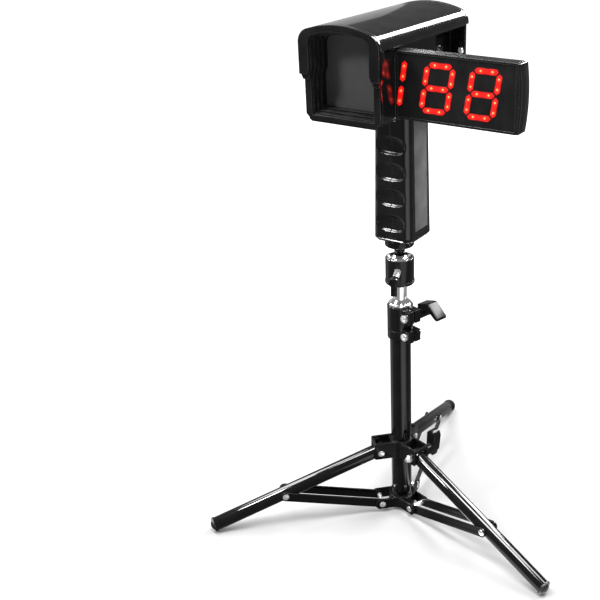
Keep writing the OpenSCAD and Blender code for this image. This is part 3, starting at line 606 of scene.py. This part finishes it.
def turned(name, body, slot, profile, origin, axis=(0, 0, 1), steps=72, ripple=None):
    """A piece turned from a profile of (radius, height) pairs. ripple(i, h) changes the radius."""
    axis_turn = Vector(axis).to_track_quat("Z", "Y").to_matrix()
    rows = []
    for r, h in profile:
        row = []
        for i in range(steps):
            a = 2 * math.pi * i / steps
            reach = r + (ripple(i, h) if ripple else 0.0)
            local = Vector((reach * math.cos(a), reach * math.sin(a), h)) * MM
            row.append(Vector(origin) + axis_turn @ local)
        rows.append(row)
    mesh = surface(name, rows, closed=True)
    mesh.materials.append(MATS[slot])
    return piece(name, body, mesh)


def rounded(points, r):
    """The same profile with each inner corner cut by two short steps, so that edges catch light."""
    out = [points[0]]
    for a, b, c in zip(points, points[1:], points[2:]):
        for other in (a, c):
            d = math.hypot(other[0] - b[0], other[1] - b[1])
            t = min(r / d, 0.45) if d > 0 else 0
            out.append((b[0] + (other[0] - b[0]) * t, b[1] + (other[1] - b[1]) * t))
    out.append(points[-1])
    return out


# the polished mouth of the ball housing
CUP_R, CUP_HIGH = 12.7, 259.5
turned("housing_mouth", "head", "chrome", rounded([
    (CUP_R - 0.65, CUP_HIGH - 0.02), (CUP_R - 0.75, CUP_HIGH + 0.06), (CUP_R - 1.4, CUP_HIGH + 0.02),
    (CUP_R - 2.1, CUP_HIGH - 0.9), (CUP_R - 2.9, CUP_HIGH - 1.7), (9.3, CUP_HIGH - 2.4)], 0.15), at(0, 0, 0))

# the lock screw: a knurled sleeve in front of the housing
SCREW_TURN, SCREW_HIGH = math.radians(-67.5), 250.5
SCREW_DIR = Vector((math.cos(SCREW_TURN), math.sin(SCREW_TURN), 0))
SLEEVE_R, KNURL_START, KNURL_END = 2.85, 13.4, 29.5


def knurling(i, h):
    """Lengthways notches of two steps out of four, between the sleeve's plain ends."""
    return -0.16 if i % 4 < 2 and KNURL_START - 0.1 < h < KNURL_END else 0.0


knurl = [(SLEEVE_R - 0.25, 12.4), (SLEEVE_R, 12.9)]
knurl += [(SLEEVE_R - (0.22 if k % 2 else 0.0), KNURL_START + 0.5 * k) for k in range(32)]
knurl += [(2.3, 29.8), (2.3, 31.5)]
turned("lock_screw_sleeve", "lock_lever", "bright_steel", knurl, at(0, 0, SCREW_HIGH), SCREW_DIR, 48,
       ripple=knurling)


# ---- stage ----

WORLD_DIM, WORLD_WHITE = 0.13, 1.0
# What reflections see of the floor: its brightness by direction, as (share of a turn, level)
FLOOR_BANDS = ((0.0, 0.16), (0.03, 0.40), (0.08, 0.10), (0.29, 0.08), (0.36, 1.0), (0.43, 0.9), (0.50, 0.10),
               (0.64, 0.08), (0.90, 0.10), (1.0, 0.16))
BAND_STRENGTH = 2.2


def area_light(name, place, aim, size, power, size_y=None):
    """A soft box in metres that faces a point."""
    data = bpy.data.lights.new(name, "AREA")
    data.shape = "RECTANGLE"
    data.size = size
    data.size_y = size_y or size
    data.energy = power
    obj = bpy.data.objects.new(name, data)
    obj.location = place
    obj.rotation_euler = (Vector(aim) - Vector(place)).to_track_quat("-Z", "Y").to_euler()
    bpy.context.scene.collection.objects.link(obj)


def make_world():
    """White to the camera, dim to everything else."""
    world = bpy.data.worlds.new("studio")
    bpy.context.scene.world = world
    world.use_nodes = True
    tree = world.node_tree
    back = tree.nodes["Background"]
    rays = tree.nodes.new("ShaderNodeLightPath")
    strength = tree.nodes.new("ShaderNodeMapRange")
    strength.inputs["To Min"].default_value = WORLD_DIM
    strength.inputs["To Max"].default_value = WORLD_WHITE
    tree.links.new(rays.outputs["Is Camera Ray"], strength.inputs["Value"])
    tree.links.new(strength.outputs["Result"], back.inputs["Strength"])
    back.inputs["Color"].default_value = (1, 1, 1, 1)


def floor_material():
    """A pale floor that runs out into white, and shows reflections a darker floor with two bright sectors."""
    m = Nodes("floor")
    m.set(Base_Color=(0.15, 0.15, 0.15, 1), Roughness=0.9, Specular_IOR_Level=0.0)
    m.set(Emission_Color=(1, 1, 1, 1))
    away = m.tree.nodes.new("ShaderNodeVectorMath")
    away.operation = "LENGTH"
    m.link(m.place, away.inputs[0])
    m.link(m.spread(away.outputs["Value"], 0.12, 1.0, 0.22, 0.7), m.shader.inputs["Emission Strength"])

    sector = m.tree.nodes.new("ShaderNodeTexGradient")
    sector.gradient_type = "RADIAL"
    m.link(m.place, sector.inputs["Vector"])
    bands = m.tree.nodes.new("ShaderNodeValToRGB")
    bands.color_ramp.interpolation = "EASE"
    for place, level in FLOOR_BANDS[1:-1]:
        bands.color_ramp.elements.new(place)
    for element, (place, level) in zip(bands.color_ramp.elements, FLOOR_BANDS):
        element.color = (level, level, level, 1)
    m.link(sector.outputs["Fac"], bands.inputs["Fac"])
    mirrored = m.tree.nodes.new("ShaderNodeEmission")
    m.link(m.math("MULTIPLY", bands.outputs["Color"], BAND_STRENGTH), mirrored.inputs["Strength"])

    rays = m.tree.nodes.new("ShaderNodeLightPath")
    choose = m.tree.nodes.new("ShaderNodeMixShader")
    m.link(rays.outputs["Is Glossy Ray"], choose.inputs["Fac"])
    m.link(m.shader.outputs["BSDF"], choose.inputs[1])
    m.link(mirrored.outputs["Emission"], choose.inputs[2])
    m.link(choose.outputs["Shader"], m.out.inputs["Surface"])
    return m.mat


def make_floor():
    """A wide sheet just under the feet."""
    mesh = bpy.data.meshes.new("floor")
    grid = bmesh.new()
    bmesh.ops.create_grid(grid, x_segments=24, y_segments=24, size=8)
    grid.to_mesh(mesh)
    grid.free()
    floor = bpy.data.objects.new("floor", mesh)
    floor.location = (0, 0, -0.0002)
    bpy.context.scene.collection.objects.link(floor)
    mesh.materials.append(floor_material())


make_world()
make_floor()

# An overhead box for the lines on the legs, a strip behind for the hood's shoulder, and soft fills
area_light("scoops", at(-150, -330, 1750), at(-150, -60, 330), 1.9, 130, 0.5)
area_light("shoulder", at(300, 1300, 1330), at(0, 0, 430), 0.40, 82, 1.3)
area_light("back_left", at(-1350, 1000, 600), at(0, 0, 430), 1.4, 1.2, 0.6)
area_light("key", at(-820, -1060, 1480), at(0, 0, 100), 0.30, 45, 0.30)
area_light("left", at(-1230, 110, 1350), at(0, 0, 330), 0.7, 32)
area_light("cast", at(700, 700, 1500), at(0, 0, 0), 0.7, 40)
bpy.context.scene.view_settings.view_transform = "Standard"
